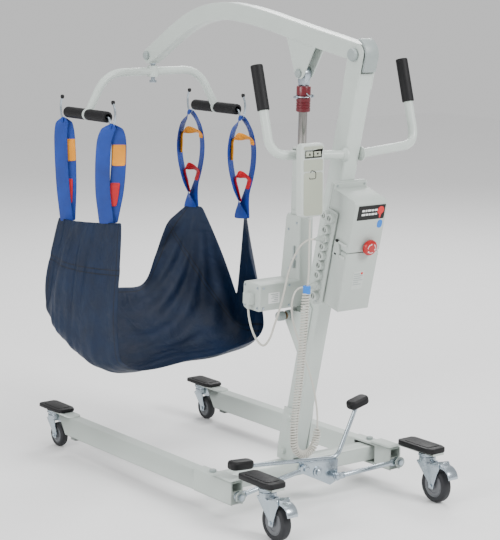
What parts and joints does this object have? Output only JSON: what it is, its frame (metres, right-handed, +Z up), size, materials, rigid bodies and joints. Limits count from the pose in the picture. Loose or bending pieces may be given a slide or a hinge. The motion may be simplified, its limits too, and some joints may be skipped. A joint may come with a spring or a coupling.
{
  "type": "mobile patient lift hoist",
  "caption": "Wheeled patient lift: spreading leg base, leaning mast, actuator-raised boom, four-point spreader bar with fabric sling, pedal, push handles, handset.",
  "frame": {"origin": "on the floor, below the middle of the hoist's footprint", "axes": "+Z up, +Y towards the operator at the rear, +X to the operator's left"},
  "size_m": [0.627, 1.271, 1.3819],
  "materials": {
    "paint": "satin powder coat",
    "zinc": "zinc plated",
    "chrome": "polished",
    "black_plastic": "moulded",
    "foam": "ribbed foam",
    "tyre": "moulded",
    "case_plastic": "fine grain",
    "panel_plastic": "satin",
    "cord": "extruded",
    "red_plastic": "glossy",
    "dark_red": "glossy",
    "sling_cloth": "woven polyester",
    "webbing": "woven"
  },
  "bodies": {
    "chassis": {"cross_tube": "paint", "mast_socket": "paint", "pivot_bolt_left": "zinc", "pivot_bolt_right": "zinc", "mast": "paint", "boom_pivot_bolt": "zinc", "push_handle_left": "paint", "push_handle_right": "paint", "grip_left": "foam", "grip_right": "foam", "control_plate": "case_plastic", "control_unit": "case_plastic", "battery_pack": "case_plastic", "socket_bank": "case_plastic", "handset_case": "panel_plastic", "handset_cord": "cord", "handset_coil": "cord", "handset_cord_tail": "cord", "actuator_lead": "cord", "actuator_mount": "paint", "actuator_foot_bolt": "zinc"},
    "boom": {"boom": "paint"},
    "actuator_body": {"actuator_body": "case_plastic"},
    "actuator_rod": {"actuator_rod": "chrome", "release_sleeve": "dark_red"},
    "hanger_swivel": {"hanger_swivel": "zinc"},
    "spreader": {"spreader": "paint", "bar_sleeve_left_rear": "foam", "bar_sleeve_left_front": "foam", "bar_sleeve_right_rear": "foam", "bar_sleeve_right_front": "foam", "sling_strap_left_rear": "webbing", "sling_strap_left_front": "webbing", "sling_strap_right_rear": "webbing", "sling_strap_right_front": "webbing", "sling": "sling_cloth"},
    "pedal_crank": {"pedal_crank": "zinc", "pedal_pad_left": "black_plastic", "pedal_pad_right": "black_plastic"},
    "emergency_stop": {"emergency_stop": "red_plastic"},
    "handset_button_up": {"handset_button_up": "panel_plastic"},
    "handset_button_down": {"handset_button_down": "panel_plastic"},
    "tie_rod_left": {"tie_rod_left": "zinc"},
    "tie_rod_right": {"tie_rod_right": "zinc"},
    "leg_left": {"leg_left": "paint", "caster_cover_front_left": "black_plastic", "caster_cover_rear_left": "black_plastic"},
    "caster_fork_front_left": {"caster_fork_front_left": "zinc"},
    "caster_wheel_front_left": {"caster_wheel_front_left": "tyre"},
    "caster_fork_rear_left": {"caster_fork_rear_left": "zinc"},
    "caster_wheel_rear_left": {"caster_wheel_rear_left": "tyre"},
    "brake_pedal_left": {"brake_pedal_left": "zinc"},
    "leg_right": {"leg_right": "paint", "caster_cover_front_right": "black_plastic", "caster_cover_rear_right": "black_plastic"},
    "caster_fork_front_right": {"caster_fork_front_right": "zinc"},
    "caster_wheel_front_right": {"caster_wheel_front_right": "tyre"},
    "caster_fork_rear_right": {"caster_fork_rear_right": "zinc"},
    "caster_wheel_rear_right": {"caster_wheel_rear_right": "tyre"},
    "brake_pedal_right": {"brake_pedal_right": "zinc"}
  },
  "joints": [
    {"name": "boom_lift", "type": "hinge", "parent": "chassis", "child": "boom", "pos_m": [0, 0.5545, 1.258], "axis": [-1, 0, 0], "range_deg": [-10, 35]},
    {"name": "actuator_tilt", "type": "hinge", "parent": "chassis", "child": "actuator_body", "pos_m": [0, 0.2855, 0.527], "axis": [-1, 0, 0], "range_deg": [-1.15, 0.4]},
    {"name": "rod_extend", "type": "slide", "parent": "actuator_body", "child": "actuator_rod", "axis": [0, 0.0403, 0.9992], "range_m": [-0.043, 0.146]},
    {"name": "hanger_swing", "type": "hinge", "parent": "boom", "child": "hanger_swivel", "pos_m": [0, -0.4385, 1.214], "axis": [1, 0, 0], "range_deg": [-35, 35]},
    {"name": "spreader_turn", "type": "hinge", "parent": "hanger_swivel", "child": "spreader", "pos_m": [0, -0.4385, 1.165], "axis": [0, 0, 1], "continuous": true},
    {"name": "leg_left_spread", "type": "hinge", "parent": "chassis", "child": "leg_left", "pos_m": [0.281, 0.2745, 0.085], "axis": [0, 0, 1], "range_deg": [0, 10]},
    {"name": "leg_right_spread", "type": "hinge", "parent": "chassis", "child": "leg_right", "pos_m": [-0.281, 0.2745, 0.085], "axis": [0, 0, -1], "range_deg": [0, 10]},
    {"name": "pedal_turn", "type": "hinge", "parent": "chassis", "child": "pedal_crank", "pos_m": [0, 0.3795, 0.092], "axis": [0, 1, 0], "range_deg": [-31, 1]},
    {"name": "tie_rod_left_turn", "type": "hinge", "parent": "pedal_crank", "child": "tie_rod_left", "pos_m": [0.052, 0.3965, 0.114], "axis": [0, 1, 0], "range_deg": [-1, 36.5]},
    {"name": "tie_rod_right_turn", "type": "hinge", "parent": "pedal_crank", "child": "tie_rod_right", "pos_m": [-0.06, 0.3965, 0.072], "axis": [0, 1, 0], "range_deg": [-1, 38.5]},
    {"name": "caster_front_left_swivel", "type": "hinge", "parent": "leg_left", "child": "caster_fork_front_left", "pos_m": [0.281, -0.5855, 0.1], "axis": [0, 0, 1], "continuous": true},
    {"name": "caster_front_left_roll", "type": "hinge", "parent": "caster_fork_front_left", "child": "caster_wheel_front_left", "pos_m": [0.281, -0.5635, 0.0375], "axis": [1, 0, 0], "continuous": true},
    {"name": "caster_rear_left_swivel", "type": "hinge", "parent": "leg_left", "child": "caster_fork_rear_left", "pos_m": [0.281, 0.5265, 0.1], "axis": [0, 0, 1], "continuous": true},
    {"name": "caster_rear_left_roll", "type": "hinge", "parent": "caster_fork_rear_left", "child": "caster_wheel_rear_left", "pos_m": [0.281, 0.5645, 0.05], "axis": [1, 0, 0], "continuous": true},
    {"name": "brake_left_press", "type": "hinge", "parent": "caster_fork_rear_left", "child": "brake_pedal_left", "pos_m": [0.281, 0.5885, 0.112], "axis": [1, 0, 0], "range_deg": [-10, 0]},
    {"name": "caster_front_right_swivel", "type": "hinge", "parent": "leg_right", "child": "caster_fork_front_right", "pos_m": [-0.281, -0.5855, 0.1], "axis": [0, 0, 1], "continuous": true},
    {"name": "caster_front_right_roll", "type": "hinge", "parent": "caster_fork_front_right", "child": "caster_wheel_front_right", "pos_m": [-0.281, -0.5635, 0.0375], "axis": [1, 0, 0], "continuous": true},
    {"name": "caster_rear_right_swivel", "type": "hinge", "parent": "leg_right", "child": "caster_fork_rear_right", "pos_m": [-0.281, 0.5265, 0.1], "axis": [0, 0, 1], "continuous": true},
    {"name": "caster_rear_right_roll", "type": "hinge", "parent": "caster_fork_rear_right", "child": "caster_wheel_rear_right", "pos_m": [-0.281, 0.5645, 0.05], "axis": [1, 0, 0], "continuous": true},
    {"name": "brake_right_press", "type": "hinge", "parent": "caster_fork_rear_right", "child": "brake_pedal_right", "pos_m": [-0.281, 0.5885, 0.112], "axis": [1, 0, 0], "range_deg": [-10, 0]},
    {"name": "emergency_stop_push", "type": "slide", "parent": "chassis", "child": "emergency_stop", "axis": [0, -0.9686, 0.2487], "range_m": [0, 0.004]},
    {"name": "handset_up_press", "type": "slide", "parent": "chassis", "child": "handset_button_up", "axis": [0, -1, 0], "range_m": [0, 0.0015], "stiffness_N_per_m": 400},
    {"name": "handset_down_press", "type": "slide", "parent": "chassis", "child": "handset_button_down", "axis": [0, -1, 0], "range_m": [0, 0.0015], "stiffness_N_per_m": 400}
  ],
  "couplings": [
    {"joint": "actuator_tilt", "follows": "boom_lift", "ratio": -0.03},
    {"joint": "rod_extend", "follows": "boom_lift", "m_per_rad": 0.2365},
    {"joint": "leg_right_spread", "follows": "leg_left_spread", "ratio": 1},
    {"joint": "pedal_turn", "follows": "leg_left_spread", "ratio": -3.05},
    {"joint": "tie_rod_left_turn", "follows": "leg_left_spread", "ratio": 3.6},
    {"joint": "tie_rod_right_turn", "follows": "leg_left_spread", "ratio": 3.8}
  ]
}
